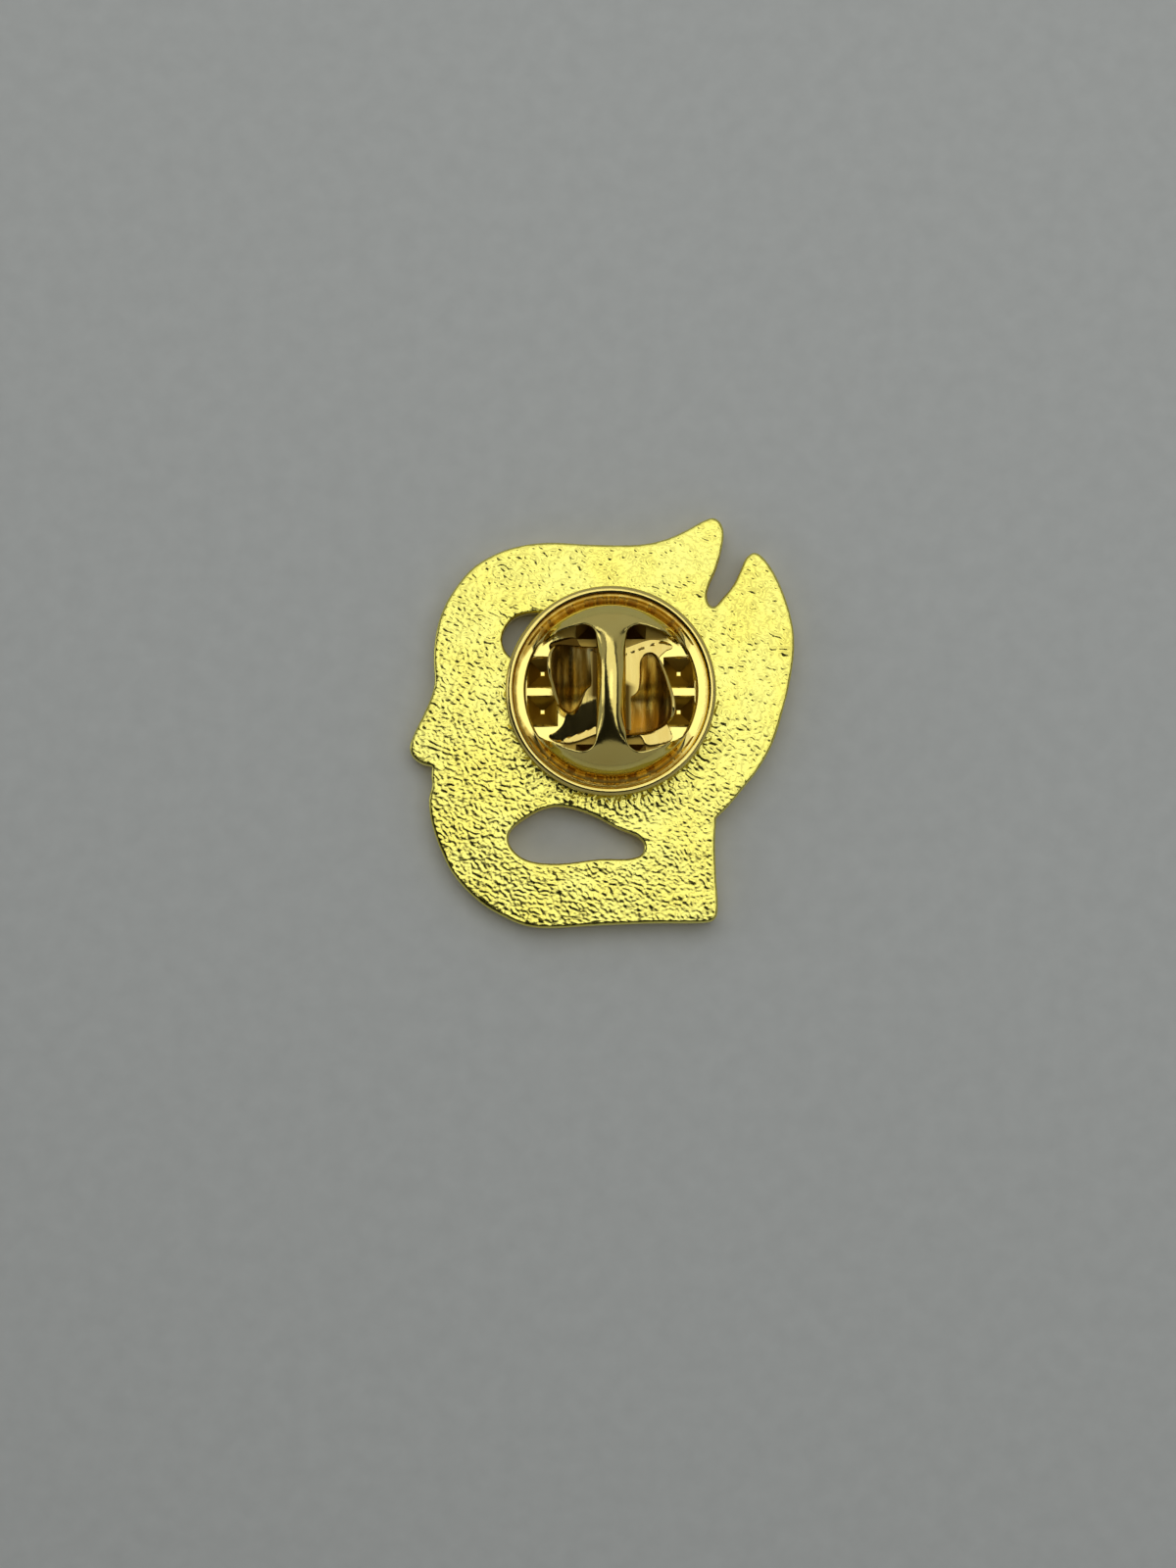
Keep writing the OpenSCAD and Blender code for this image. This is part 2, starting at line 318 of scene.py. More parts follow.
def fill(loops, spacing, rings=(), creases=()):
    """Triangles all over a region: outer loop first, then its holes, with rings of points along each edge.

    Returns the points, the triangles, and the numbers of the points in each loop.
    """
    loops = [turned(loop, i == 0) for i, loop in enumerate(loops)]
    points = [np.vstack(loops)]
    for ring in rings:
        points += [loop + left_of(loop) * ring for loop in loops]
    for crease in creases:
        points.append(np.array(crease, float))
    low, high = loops[0].min(0), loops[0].max(0)
    rows = np.arange(low[1], high[1], spacing * math.sqrt(3) / 2)
    columns = np.arange(low[0], high[0], spacing)
    grid = np.array([(x + (j % 2) * spacing / 2, y) for j, y in enumerate(rows) for x in columns])
    grid = grid[inside(grid, loops)]
    keep = distance_to(grid, loops) > (max(rings) if rings else 0) + 0.6 * spacing
    if creases:
        keep &= distance_to(grid, [np.array(c, float) for c in creases]) > 0.4 * spacing
    points = np.vstack(points + [grid[keep]])
    edges, rims, start = [], [], 0
    for loop in loops:
        rim = np.arange(start, start + len(loop))
        edges += list(zip(rim.tolist(), np.roll(rim, -1).tolist()))
        rims.append(rim)
        start += len(loop)
    start += sum(len(loop) for loop in loops) * len(rings)
    for crease in creases:
        edges += [(k, k + 1) for k in range(start, start + len(crease) - 1)]
        start += len(crease)
    made = delaunay_2d_cdt([Vector(p) for p in points], edges, [], 0, 1e-6, True)
    flat = np.array([(v.x, v.y) for v in made[0]])
    renumber = {old: new for new, olds in enumerate(made[3]) for old in olds}
    rims = [np.array([renumber[k] for k in rim]) for rim in rims]
    triangles = np.array(made[2])
    on_rim = np.zeros(len(flat), bool)
    on_rim[np.concatenate(rims)] = True
    doubtful = on_rim[triangles].all(1)
    keep = np.ones(len(triangles), bool)
    keep[doubtful] = inside(flat[triangles[doubtful]].mean(1), loops)
    return flat, triangles[keep], rims


# Solid shapes


class Shape:
    """Points in millimetres and the faces between them, gathered into one mesh."""

    def __init__(self):
        self.points, self.faces, self.finish = [], [], []
        self.count = 0

    def add(self, points):
        """Adds points and returns their numbers."""
        self.points.append(np.asarray(points, float))
        numbers = np.arange(self.count, self.count + len(points))
        self.count += len(points)
        return numbers

    def cover(self, faces, finish=0):
        """Adds faces; the finish is one number, or one for each face."""
        self.faces += [tuple(int(k) for k in face) for face in faces]
        self.finish += np.broadcast_to(finish, len(faces)).tolist()

    def band(self, low, high, finish=0):
        """Quads between two closed rows of points that run the same way."""
        self.cover(np.column_stack((low, np.roll(low, -1), np.roll(high, -1), high)), finish)

    def turn(self, profile, steps, finish=0, start=None):
        """A surface turned about Z from points of radius and height; a radius of 0 closes it.

        It may carry on from a closed row of points that is there already, and it returns its last row.
        """
        rows = [] if start is None else [start]
        for r, z in profile:
            if r < TINY:
                rows.append(self.add([(0, 0, z)]))
            else:
                rows.append(self.add(np.column_stack((circle(r, steps), np.full(steps, z)))))
        for low, high in zip(rows, rows[1:]):
            if len(low) == 1:
                self.cover([(low[0], high[(k + 1) % steps], high[k]) for k in range(steps)], finish)
            elif len(high) == 1:
                self.cover([(low[k], low[(k + 1) % steps], high[0]) for k in range(steps)], finish)
            else:
                self.band(low, high, finish)
        return rows[-1]

    def object(self, name, body, node, finishes, sharp=50):
        """Makes the Blender object that stands for one CAD node."""
        mesh = bpy.data.meshes.new(name)
        mesh.from_pydata((np.vstack(self.points) * MM).tolist(), [], self.faces)
        for finish in finishes:
            mesh.materials.append(finish)
        mesh.polygons.foreach_set("material_index", self.finish)
        bm = bmesh.new()
        bm.from_mesh(mesh)
        bmesh.ops.recalc_face_normals(bm, faces=bm.faces)
        bm.to_mesh(mesh)
        bm.free()
        mesh.shade_smooth()
        mesh.set_sharp_from_angle(angle=math.radians(sharp))
        piece = bpy.data.objects.new(name, mesh)
        bpy.context.scene.collection.objects.link(piece)
        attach(piece, body)
        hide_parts(node)
        return piece


def normals_of(points, triangles):
    """Unit normals at the points of a surface."""
    a, b, c = (points[triangles[:, k]] for k in range(3))
    faces = np.cross(b - a, c - a)
    total = np.zeros_like(points)
    for k in range(3):
        np.add.at(total, triangles[:, k], faces)
    return total / np.maximum(np.linalg.norm(total, axis=1), 1e-12)[:, None]


def add_sheet(shape, triangles, rims, upper, lower, over=0, under=0):
    """Sheet metal: both faces of a flat pattern, each with its finish, and the cut edges along its rims."""
    top, bottom = shape.add(upper), shape.add(lower)
    shape.cover(top[triangles], over)
    shape.cover(bottom[triangles[:, ::-1]], under)
    for rim in rims:
        shape.band(bottom[rim], top[rim])
    return top, bottom


def thicken(points, triangles, thickness):
    """The other face of a sheet whose first face is given."""
    return points - normals_of(points, triangles) * thickness


def ease(value, start, end):
    """0 up to start, 1 from end on, and a smooth step between."""
    u = np.clip((value - start) / (end - start), 0, 1)
    return u * u * (3 - 2 * u)


# Badge


def flat_face_loops(node, height):
    """Closed loops, in millimetres, round the flat face of a CAD node at a height."""
    bm = bmesh.new()
    bm.from_mesh(frame["nodes"][node].data)
    bmesh.ops.remove_doubles(bm, verts=bm.verts, dist=1e-7)
    level = {
        face for face in bm.faces
        if face.normal.z > 0.999 and abs(face.calc_center_median().z / MM - height) < 0.001
    }
    after = {}
    for face in level:
        for corner in face.loops:
            if corner.edge.link_faces[0] not in level or corner.edge.link_faces[1] not in level:
                after[corner.vert] = corner.link_loop_next.vert
    loops = []
    while after:
        vert = next(iter(after))
        loop = []
        while vert in after:
            loop.append((vert.co.x / MM, vert.co.y / MM))
            vert = after.pop(vert)
        loops.append(np.array(loop))
    bm.free()
    return sorted(loops, key=len, reverse=True)


def plate_outlines(step=0.1, corner=math.radians(35)):
    """The badge's outline and openings, smoothed between the frame's points but sharp at real corners."""
    low, high = node_box("plate_and_post")
    outlines = []
    for loop in flat_face_loops("plate_and_post", PLATE_T):
        if np.linalg.norm(loop, axis=1).max() < 2 * POST_R:
            continue
        before, after = loop - np.roll(loop, 1, 0), np.roll(loop, -1, 0) - loop
        turn = np.arctan2(before[:, 0] * after[:, 1] - before[:, 1] * after[:, 0], (before * after).sum(1))
        curve = closed_curve(np.column_stack((loop, np.abs(turn) > corner)), step)
        outlines.append(np.clip(curve, low.xy, high.xy))
    return outlines


def grain_height(x, y):
    """Rounded pebbles left by the sand-textured die, with thin creases between, longer down to the right."""
    along = x * math.cos(GRAIN_TURN) + y * math.sin(GRAIN_TURN)
    across = y * math.cos(GRAIN_TURN) - x * math.sin(GRAIN_TURN)
    pebbles = noise.noise(Vector((along / PEBBLE_L, across / PEBBLE_W, 3.1)))
    pebbles = math.sqrt(pebbles**2 + PEBBLE_SOFTNESS)
    grit = noise.noise(Vector((along / GRIT_L, across / GRIT_W, 8.2)))
    swell = noise.noise(Vector((x / SWELL_L, y / SWELL_W, 5.5)))
    return PEBBLE_H * pebbles + GRIT_H * grit + SWELL_H * swell + raked_height(x, y)


def raked_height(x, y):
    """Deeper strokes that run outwards in a band just beyond the clutch's lower side."""
    radius = math.hypot(x, y)
    lowness = (RAKE_LEAN * x - y) / max(radius, 1)
    band = ease(radius, *RAKE_START_R) * (1 - ease(radius, *RAKE_END_R)) * ease(lowness, *RAKE_LOWNESS)
    if band == 0:
        return 0
    around = math.atan2(x, -y) * RIM_R
    stroke = noise.noise(Vector((around / RAKE_W, radius / RAKE_L, 1.7)))
    return RAKE_H * band * math.sqrt(stroke**2 + RAKE_SOFTNESS)


def rounded_drop(depth, radius):
    """How far a rounded edge falls below the face at each distance from the edge."""
    u = np.clip(1 - depth / radius, 0, 1)
    return radius * (1 - np.sqrt(1 - u * u))


def make_badge():
    shape = Shape()
    loops = plate_outlines()
    marks = [closer(loop, EDGE_MARKS) for loop in loops]
    flat, triangles, rims = fill(loops, GRAIN_STEP, [BACK_EDGE_R * k for k in BACK_EDGE_RINGS])
    depth = distance_to(flat, marks)
    grain = np.array([grain_height(x, y) for x, y in flat]) * np.clip(depth / BACK_EDGE_R, 0, 1)
    height = PLATE_T - rounded_drop(depth, BACK_EDGE_R) + grain
    height[np.concatenate(rims)] = PLATE_T - BACK_EDGE_R
    back = shape.add(np.column_stack((flat, height)))
    shape.cover(back[triangles], 0)
    flat, triangles, front_rims = fill(loops, FRONT_STEP, [FRONT_EDGE_R * k for k in FRONT_EDGE_RINGS])
    depth = distance_to(flat, marks)
    height = rounded_drop(depth, FRONT_EDGE_R)
    height[np.concatenate(front_rims)] = FRONT_EDGE_R
    front = shape.add(np.column_stack((flat, height)))
    shape.cover(front[triangles[:, ::-1]], 1)
    for back_rim, front_rim in zip(rims, front_rims):
        shape.band(front[front_rim], back[back_rim], 1)
    add_post(shape)
    finishes = [GOLD_BACK, GOLD_PLAIN, GOLD_PLAIN]
    return shape.object("badge", "badge", "plate_and_post", finishes)


def add_post(shape):
    """The soldered post: a fillet of solder, the shank, the neck that the jaw grips and the point."""
    root_z = PLATE_T - ROOT_DEPTH
    profile = [(0, root_z), (POST_R + SOLDER_R + ROOT_EDGE, root_z)]
    for a in np.radians(np.linspace(0, 90, 9)):
        profile.append((POST_R + SOLDER_R * (1 - math.sin(a)), PLATE_T + SOLDER_R * (1 - math.cos(a))))
    for u in np.linspace(0, 1, 13):
        narrower = NECK_DEPTH / 2 * (1 - math.cos(2 * math.pi * u))
        profile.append((POST_R - narrower, POST_TIP_Z - NECK_DROP + NECK_HALF * (2 * u - 1)))
    for u in POINT_SHARES:
        profile.append((POST_R * (1 - u) ** POINT_POWER, POST_TIP_Z - POINT_H * (1 - u)))
    profile.append((0, POST_TIP_Z))
    shape.turn(profile, POST_STEPS, 2)


# Clutch


class Unrolled:
    """A turned surface laid flat: each point's distance from the centre is the way along the profile."""

    def __init__(self, profile):
        self.r, self.z = np.array(profile, float).T
        steps = np.hypot(np.diff(self.r), np.diff(self.z))
        self.s = self.r[0] + np.concatenate(([0], np.cumsum(steps)))

    def lay(self, plan, step):
        """A closed loop in plan, laid flat with points every step."""
        plan = closer(plan, FINE_MARKS)
        r = np.linalg.norm(plan, axis=1)
        flat = plan / r[:, None] * np.interp(r, self.r, self.s)[:, None]
        gaps = np.linalg.norm(np.roll(flat, -1, 0) - flat, axis=1)
        marks = np.concatenate(([0], np.cumsum(gaps)))
        count = math.ceil(marks[-1] / step)
        along = np.arange(count) * marks[-1] / count
        ends = np.vstack((flat, flat[:1]))
        return np.column_stack([np.interp(along, marks, ends[:, k]) for k in (0, 1)])

    def lift(self, flat):
        """Flat points put back on the turned surface."""
        s = np.linalg.norm(flat, axis=1)
        r = np.interp(s, self.s, self.r)
        scale = np.where(s > TINY, r / np.maximum(s, TINY), 1)
        return np.column_stack((flat * scale[:, None], np.interp(s, self.s, self.z)))


def dome_profile():
    """From the crown down the dome and round the fillet at its foot."""
    power = 2 / DOME_POWER
    profile = []
    for a in np.radians(np.linspace(0, 90, 120)):
        profile.append((DOME_R * math.sin(a) ** power, FLANGE_Z + DOME_H * max(math.cos(a), 0) ** power))
    profile = [p for p in profile if p[1] > FLANGE_Z + DOME_FILLET]
    foot_r = profile[-1][0]
    for a in np.radians(np.linspace(10, 90, 13)):
        profile.append((foot_r + DOME_FILLET * (1 - math.cos(a)), FLANGE_Z + DOME_FILLET * (1 - math.sin(a))))
    profile.append((FLANGE_R, FLANGE_Z))
    return profile


def flange_profile():
    """Out over the flange, which falls off towards the lip, and back along the sheet's other face."""
    profile = []
    for r in np.linspace(FLANGE_R, FLANGE_END_R, 12)[1:]:
        fall = FLANGE_CROWN - math.sqrt(FLANGE_CROWN**2 - (r - FLANGE_R) ** 2)
        profile.append((r, FLANGE_Z - fall))
    end_z = profile[-1][1]
    profile += [(FLANGE_END_R + 0.02, end_z - 0.05), (FLANGE_END_R, end_z - 0.12)]
    return profile + [(FLANGE_R, FLANGE_Z - CAP_T)]


def d_opening(side):
    """Plan of one D opening: round outside, straight beside the strap, with rounded corners."""
    half = STRAP_W / 2
    arc_y = OPEN_TOP_Y - OPEN_ARC_R
    corner_x, reach = half + CORNER_R, OPEN_ARC_R - CORNER_R
    corner_y = arc_y + math.sqrt(reach**2 - corner_x**2)
    touch = math.asin(corner_x / reach)
    end_y = (OPEN_ARC_R**2 - OPEN_R**2 - arc_y**2) / (-2 * arc_y)
    end = math.asin(math.sqrt(OPEN_R**2 - end_y**2) / OPEN_ARC_R)
    upper = [(half, 0)]
    for a in np.linspace(math.pi, math.pi / 2 - touch, 14):
        upper.append((corner_x + CORNER_R * math.cos(a), corner_y + CORNER_R * math.sin(a)))
    for a in np.linspace(touch, end, 12)[1:]:
        upper.append((OPEN_ARC_R * math.sin(a), arc_y + OPEN_ARC_R * math.cos(a)))
    start = math.atan2(end_y, math.sqrt(OPEN_R**2 - end_y**2))
    for a in np.linspace(start, 0, 30)[1:]:
        upper.append((OPEN_R * math.cos(a), OPEN_R * math.sin(a)))
    upper = np.array(upper)
    lower = upper[-2:0:-1] * (1, -1)
    sharp = closer(np.vstack((upper, lower)), OPEN_MARKS)
    beside = range(-OPEN_SOFTNESS, OPEN_SOFTNESS + 1)
    rounded = np.mean([np.roll(sharp, k, 0) for k in beside], axis=0)
    return rounded * (side, 1)


def strap_drop(x, y, gap):
    """The strap is bent down to a half tube, and the bend dies out in the crescents at its ends."""
    u = np.clip(1 - gap / (STRAP_W / 2), 0, STRAP_STEEPEST)
    drop = STRAP_DROP * (1 - np.sqrt(1 - u**STRAP_POWER))
    along = (1 - ease(y, *STRAP_TOP_Y)) * (1 - ease(-y, *STRAP_LOW_Y))
    return drop * along * (1 - ease(np.abs(x), *STRAP_SIDE_X))


def beside_openings(x, y):
    """1 where the ring runs past the two openings, fading to 0 in the dome and towards the crescents."""
    return ease(np.hypot(x, y), RING_START_R, OPEN_R) * (1 - ease(np.abs(y), *RING_END_Y))


def make_dome():
    shape = Shape()
    surface = Unrolled(dome_profile())
    openings = [d_opening(side) for side in (1, -1)]
    loops = [circle(surface.s[-1], TURN_STEPS)] + [surface.lay(opening, CAP_STEP) for opening in openings]
    flat, triangles, rims = fill(loops, CAP_STEP, CAP_EDGE_RINGS)
    upper = surface.lift(flat)
    x, y = upper[:, 0], upper[:, 1]
    gap = distance_to(upper[:, :2], [closer(opening, FINE_MARKS) for opening in openings])
    ring = beside_openings(x, y)
    upper[:, 2] = FLANGE_Z + (upper[:, 2] - FLANGE_Z) * (1 - ring) - strap_drop(x, y, gap)
    edge_r = CAP_EDGE_R + (RING_EDGE_R - CAP_EDGE_R) * ring
    upper = thicken(upper, triangles, rounded_drop(gap, edge_r)[:, None])
    lower = thicken(upper, triangles, CAP_T)
    top, bottom = add_sheet(shape, triangles, rims[1:], upper, lower)
    end = shape.turn(flange_profile(), TURN_STEPS, start=top[rims[0]])
    shape.band(end, bottom[rims[0]])
    return shape.object("clutch_dome", "clutch", "clutch_cap", [CAP_BRASS_PAINTED_SHADE])


def pit_centres():
    """Two pits beside each of the four radii."""
    beside = (PIT_WEB + PIT_SIZE) / 2
    for quarter in range(4):
        for side in (-1, 1):
            x, y = PIT_CENTRE, side * beside
            for _ in range(quarter):
                x, y = -y, x
            yield x, y


def pit_fall(x, y, half, depth):
    """How far the pyramid pits fall at each place, when they are this wide each way and this deep."""
    fall = np.zeros(len(x))
    for cx, cy in pit_centres():
        across = np.maximum(np.abs(x - cx), np.abs(y - cy))
        fall = np.maximum(fall, depth * np.clip((half - across) / (half - PIT_POINT), 0, 1))
    return fall


def floor_rise(x, y):
    """The floor turns up a little beyond the feet, towards the crescents."""
    return FLOOR_RISE * ease(np.abs(y), *FLOOR_RISE_Y) * (1 - ease(np.hypot(x, y), *FLOOR_FALL_R))


def wall_profile(out_r, foot_z, start_r=FLOOR_R):
    """The dish's wall from start_r: it leaves the flat floor level and stands upright at out_r."""
    profile = []
    for a in np.radians(np.linspace(0, 90, 40)):
        r = FLOOR_R + (out_r - FLOOR_R) * math.sin(a) ** (2 / WALL_POWER)
        z = foot_z + (FLOOR_Z + WALL_H - foot_z) * (1 - max(math.cos(a), 0) ** (2 / WALL_POWER))
        if r >= start_r:
            profile.append((r, z))
    return profile


def dish_rim_profile():
    """Up the wall's inner face, round the lip's cut edge and over its crest, and down the outer face."""
    profile = wall_profile(RIM_R - SHEET_T, FLOOR_TOP_Z, WALL_START_R + RIM_START)
    lip_z = FLOOR_Z + WALL_H + LIP_RISE
    for inwards, up in LIP_CUT:
        profile.append((RIM_R - inwards, lip_z + up))
    for a in np.radians(np.linspace(LIP_CUT_TURN, 0, 17)):
        profile.append((RIM_R - LIP_R + LIP_R * math.cos(a), lip_z + LIP_R * math.sin(a)))
    return profile + wall_profile(RIM_R, FLOOR_Z, WALL_START_R + RIM_START)[::-1]


def make_dish():
    shape = Shape()
    inner_face = [(DISH_HOLE_R, FLOOR_TOP_Z)] + wall_profile(RIM_R - SHEET_T, FLOOR_TOP_Z)
    surface = Unrolled([p for p in inner_face if p[0] <= WALL_START_R])
    # The pits' ridges stop just short of their rims and their points, which are creases of their own
    ridge = np.linspace(PIT_SIZE / 2 - 0.03, PIT_POINT + 0.02, 12)
    creases = []
    corners = ((-1, -1), (1, -1), (1, 1), (-1, 1), (-1, -1))
    for cx, cy in pit_centres():
        for half in (PIT_SIZE / 2, PIT_POINT):
            creases.append([(cx + half * a, cy + half * b) for a, b in corners])
        for a, b in corners[:4]:
            creases.append([(cx + h * a, cy + h * b) for h in ridge])
    loops = [circle(surface.s[-1], TURN_STEPS), circle(DISH_HOLE_R, DISH_HOLE_STEPS)]
    flat, triangles, rims = fill(loops, DISH_STEP, DISH_EDGE_RINGS, creases)
    upper = surface.lift(flat)
    lower = upper.copy()
    radius = np.linalg.norm(upper[:, :2], axis=1)
    lower[:, 2] = np.interp(radius, *np.array(wall_profile(RIM_R, FLOOR_Z)).T)
    x, y = upper[:, 0], upper[:, 1]
    rise = floor_rise(x, y)
    upper[:, 2] += rise - pit_fall(x, y, PIT_SIZE / 2, PIT_HOLLOW)
    lower[:, 2] += rise - pit_fall(x, y, PIT_SIZE / 2 + PIT_WALL, PIT_DEPTH)
    lower[:, 2] = np.maximum(lower[:, 2], PIT_TIP_Z)
    top, bottom = add_sheet(shape, triangles, rims[1:], upper, lower, over=1)
    end = shape.turn(dish_rim_profile(), TURN_STEPS, start=top[rims[0]])
    shape.band(end, bottom[rims[0]])
    finishes = [STAMPED_BRASS, DISH_BRASS_PAINTED_SHADE]
    return shape.object("clutch_dish", "clutch", "clutch_base", finishes, sharp=30)


def foot_height(x):
    """Top of the sloping foot at x."""
    return FLOOR_TOP_Z + FOOT_GAP + SPRING_T / math.cos(FOOT_TILT) + (HEEL_X - x) * math.tan(FOOT_TILT)


def wing_bend(steps=60):
    """The wing's sheet seen end on: the way along it, x and height."""
    root = np.array((WING_ROOT_X, foot_height(WING_ROOT_X) - SPRING_T / 2))
    top = root + (WING_TOP_X - WING_ROOT_X, WING_RISE)
    belly = root + (WING_BELLY_X * (WING_TOP_X - WING_ROOT_X), WING_BELLY_Z * WING_RISE)
    u = np.linspace(-WING_SUNK, 1, steps)[:, None]
    line = (1 - u) ** 2 * root + 2 * u * (1 - u) * belly + u**2 * top
    return line, root[1]


def foot_bend(x, y):
    """The foot falls a little towards a scored line of short cuts, and the strip beyond is bent back up."""
    beyond = y - SCORE_Y - SCORE_SLOPE * x
    dashes = ease(np.sin(12 * x + np.sin(5 * x)), -0.5, -0.1)
    cuts = np.clip(1 - np.abs(beyond) / SCORE_HALF, 0, 1) * dashes
    before_line = FOOT_SLOPE * np.clip(-beyond, 0, FOOT_SLOPE_W)
    strip = STRIP_SLOPE * np.clip(beyond, 0, STRIP_W)
    return before_line + strip - SCORE_DEPTH * cuts


def add_foot(shape, turn):
    """The sloping foot, with its half of the jaw cut out of the side that faces the other piece."""
    around = np.linspace(JAW_END_ANGLE, math.pi - JAW_END_ANGLE, JAW_STEPS)
    jaw = [[JAW_R * math.sin(a), JAW_R * math.cos(a), 0] for a in around]
    jaw[0][2] = jaw[-1][2] = 1
    foot = closed_curve(FOOT_PLAN + jaw, FOOT_STEP)
    line_x = np.arange(SCORE_START_X, SCORE_END_X, SCORE_STEP)
    scored = []
    for aside in (-SCORE_HALF, 0, SCORE_HALF):
        scored.append([(x, SCORE_Y + SCORE_SLOPE * x + aside) for x in line_x])
    flat, triangles, rims = fill([foot], FOOT_STEP, FOOT_EDGE_RINGS, scored)
    edge_gap = distance_to(flat, [closer(foot, EDGE_MARKS)])
    height = foot_height(flat[:, 0]) + foot_bend(flat[:, 0], flat[:, 1])
    upper = np.column_stack((flat, height - rounded_drop(edge_gap, FOOT_EDGE_R)))
    lower = np.column_stack((flat, height - SPRING_T))
    add_sheet(shape, triangles, rims, upper * turn, lower * turn)


def add_wing(shape, edge, turn, seed):
    """The thumb wing: its edge is laid out along the bend, filled, and bent up again."""
    line, root_z = wing_bend()
    way = np.concatenate(([0], np.cumsum(np.hypot(*np.diff(line, axis=0).T))))
    outline = closed_curve([(y, share * WING_RISE, sharp) for y, share, sharp in edge], WING_EDGE_STEP)
    laid = np.column_stack((np.interp(outline[:, 1] + root_z, line[:, 1], way), outline[:, 0]))
    laid = turned(laid, True)
    flat, triangles, rims = fill([laid], WING_STEP, WING_EDGE_RINGS)
    edge_gap = distance_to(flat, [closer(laid, FINE_MARKS)])
    bent_x, bent_z = (np.interp(flat[:, 0], way, line[:, k]) for k in (0, 1))
    sheet = np.column_stack((bent_x, flat[:, 1], bent_z))
    out = normals_of(sheet, triangles)
    ripple = np.array([noise.noise(Vector((p[0] / RIPPLE_W, p[1] / RIPPLE_L, seed))) for p in flat])
    ripple *= RIPPLE_H * np.clip(edge_gap / RIPPLE_FADE, 0, 1)
    half = SPRING_T / 2 - rounded_drop(edge_gap, SPRING_T / 2)
    upper = sheet + out * (ripple + half)[:, None]
    lower = sheet + out * (ripple - half)[:, None]
    # Faces away from the edges get the wings' painted reflection.
    painted_reflection = (edge_gap[triangles].min(1) > UNPAINTED_EDGE).astype(int)
    add_sheet(shape, triangles, rims, upper * turn, lower * turn, painted_reflection, painted_reflection)


def make_spring(name, node, edge, side):
    """One spring piece; the left one is turned half round the post."""
    shape = Shape()
    turn = np.array((side, side, 1))
    add_foot(shape, turn)
    add_wing(shape, edge, turn, side * RIPPLE_SEED)
    return shape.object(name, node, node, [SPRING_BRASS_PAINTED_SHADE, WING_BRASS_PAINTED_REFLECTION])


# Finishes


def linear(colour):
    """A six-digit sRGB hex colour as linear red, green, blue and alpha."""
    parts = [int(colour[k:k + 2], 16) / 255 for k in (0, 2, 4)]
    return [p / 12.92 if p <= 0.04045 else ((p + 0.055) / 1.055) ** 2.4 for p in parts] + [1]


def add(tree, kind, inputs=None, **settings):
    """Adds a node; each input is given a value, or the socket that feeds it."""
    new = tree.nodes.new(kind)
    for name, value in settings.items():
        setattr(new, name, value)
    for name, value in (inputs or {}).items():
        if isinstance(value, bpy.types.NodeSocket):
            tree.links.new(value, new.inputs[name])
        else:
            new.inputs[name].default_value = value
    return new


def finish(name, surface):
    """A material with one Principled shader and its object coordinates, finished by the function surface."""
    material = bpy.data.materials.new(name)
    material.use_nodes = True
    tree = material.node_tree
    tree.nodes.clear()
    shader = add(tree, "ShaderNodeBsdfPrincipled")
    add(tree, "ShaderNodeOutputMaterial", {"Surface": shader.outputs["BSDF"]})
    where = add(tree, "ShaderNodeTexCoord").outputs["Object"]
    surface(tree, shader, where)
    return material


def ramp(tree, factor, stops):
    """A colour ramp from positions and hex colours."""
    new = add(tree, "ShaderNodeValToRGB", {"Fac": factor})
    elements = new.color_ramp.elements
    while len(elements) < len(stops):
        elements.new(0.5)
    for element, (position, colour) in zip(elements, stops):
        element.position = position
        element.color = linear(colour)
    return new.outputs["Color"]


def mottle(tree, where, size, detail):
    """Noise from 0 to 1 whose features are about this many millimetres across."""
    inputs = {"Vector": where, "Scale": 1 / (size * MM), "Detail": detail}
    return add(tree, "ShaderNodeTexNoise", inputs).outputs["Fac"]


def stretched(tree, where, scale):
    """Coordinates scaled along each axis; a texture is drawn out along the axes with a small scale."""
    return add(tree, "ShaderNodeMapping", {"Vector": where, "Scale": scale}).outputs["Vector"]


def coordinates(tree, where):
    """The sockets X, Y and Z of a place."""
    return add(tree, "ShaderNodeSeparateXYZ", {"Vector": where}).outputs


def length_of(tree, vector, scale):
    """Length of a vector once its coordinates are scaled."""
    scaled = add(tree, "ShaderNodeVectorMath", {0: vector, 1: scale}, operation="MULTIPLY")
    length = add(tree, "ShaderNodeVectorMath", {0: scaled.outputs["Vector"]}, operation="LENGTH")
    return length.outputs["Value"]


def reckon(tree, operation, *values):
    """The result of one operation on numbers or sockets."""
    return add(tree, "ShaderNodeMath", dict(enumerate(values)), operation=operation).outputs["Value"]


def carry(tree, value, start, end, low=0, high=1, **settings):
    """A value carried from start and end over to low and high, and held there beyond them."""
    inputs = {"Value": value, "From Min": start, "From Max": end, "To Min": low, "To Max": high}
    return add(tree, "ShaderNodeMapRange", inputs, **settings).outputs["Result"]


def spread(tree, value, low, high):
    """A 0 to 1 value spread between two others."""
    return carry(tree, value, 0, 1, low, high)


def mix(tree, share, first, second):
    """Two colours mixed; the share is that of the second."""
    inputs = {"Fac": share, "Color1": first, "Color2": second}
    return add(tree, "ShaderNodeMixRGB", inputs).outputs["Color"]


def coat(tree, shader, colour, rough):
    """Feeds the shader its colour and roughness."""
    tree.links.new(colour, shader.inputs["Base Color"])
    tree.links.new(rough, shader.inputs["Roughness"])


def emboss(tree, shader, height, depth):
    """Bumps the surface by a 0 to 1 height that stands for this many millimetres."""
    bump = add(tree, "ShaderNodeBump", {"Height": height, "Strength": 1, "Distance": depth * MM})
    tree.links.new(bump.outputs["Normal"], shader.inputs["Normal"])


